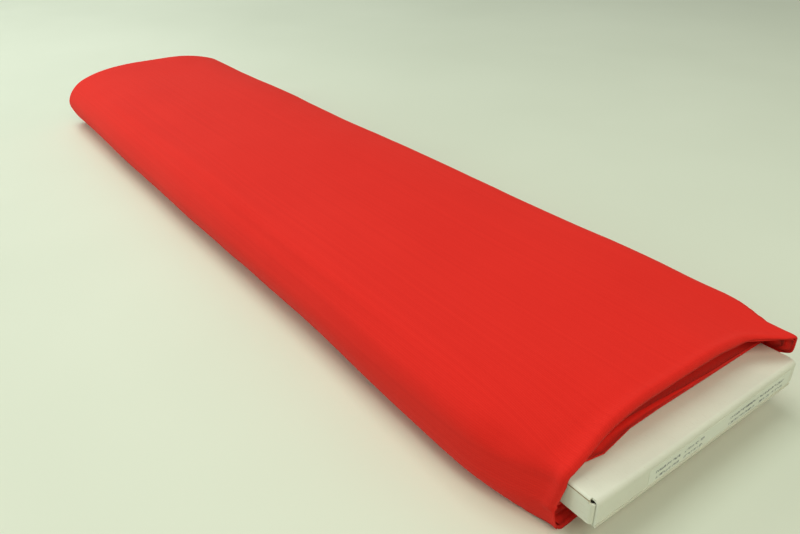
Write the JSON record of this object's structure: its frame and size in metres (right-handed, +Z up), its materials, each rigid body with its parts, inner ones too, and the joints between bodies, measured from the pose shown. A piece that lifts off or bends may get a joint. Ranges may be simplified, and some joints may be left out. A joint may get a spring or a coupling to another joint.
{
  "type": "fabric bolt",
  "caption": "Flat-fold fabric bolt: doubled knitted cloth wound on a folded cardboard board with tuck-in ends and a paper end label, lying on its broad face.",
  "frame": {"origin": "middle of the underside, on the surface that the bolt lies on", "axes": "+X along the board towards the label end, +Y across the board, +Z up"},
  "size_m": [0.7802, 0.1996, 0.0506],
  "materials": {
    "cloth": "matt fine-knit jersey with a soft sheen",
    "lined_board": "white-lined chipboard, smooth and matt",
    "raw_board": "raw grey-brown chipboard",
    "kraft_paper": "brown kraft paper",
    "label_paper": "uncoated white label paper"
  },
  "bodies": {
    "cloth": {"cloth_outer_turns": "cloth", "cloth_inner_turns": "cloth"},
    "board": {"board_sleeve": "lined_board", "glue_tab": "raw_board", "liner_lower_bottom_facing": "kraft_paper", "liner_lower_flute": "kraft_paper", "liner_lower_top_facing": "kraft_paper", "liner_upper_bottom_facing": "kraft_paper", "liner_upper_flute": "kraft_paper", "liner_upper_top_facing": "kraft_paper"},
    "near_flap": {"near_end_flap": "lined_board", "end_label": "label_paper"},
    "near_dust_left": {"near_dust_flap_left": "lined_board"},
    "near_dust_right": {"near_dust_flap_right": "lined_board"},
    "far_flap": {"far_end_flap": "lined_board"},
    "far_dust_left": {"far_dust_flap_left": "lined_board"},
    "far_dust_right": {"far_dust_flap_right": "lined_board"}
  },
  "joints": [
    {"name": "board_slide", "type": "slide", "parent": "cloth", "child": "board", "axis": [1, 0, 0], "range_m": [0, 0.78]},
    {"name": "near_flap_hinge", "type": "hinge", "parent": "board", "child": "near_flap", "pos_m": [0.3874, 0, 0.0333], "axis": [0, -1, 0], "range_deg": [0, 120]},
    {"name": "near_dust_left_hinge", "type": "hinge", "parent": "board", "child": "near_dust_left", "pos_m": [0.3874, -0.0799, 0.0245], "axis": [0, 0, 1], "range_deg": [0, 85]},
    {"name": "near_dust_right_hinge", "type": "hinge", "parent": "board", "child": "near_dust_right", "pos_m": [0.3874, 0.0799, 0.0245], "axis": [0, 0, -1], "range_deg": [0, 85]},
    {"name": "far_flap_hinge", "type": "hinge", "parent": "board", "child": "far_flap", "pos_m": [-0.3874, 0, 0.0333], "axis": [0, 1, 0], "range_deg": [0, 100]},
    {"name": "far_dust_left_hinge", "type": "hinge", "parent": "board", "child": "far_dust_left", "pos_m": [-0.3874, -0.0799, 0.0245], "axis": [0, 0, -1], "range_deg": [0, 85]},
    {"name": "far_dust_right_hinge", "type": "hinge", "parent": "board", "child": "far_dust_right", "pos_m": [-0.3874, 0.0799, 0.0245], "axis": [0, 0, 1], "range_deg": [0, 85]}
  ]
}
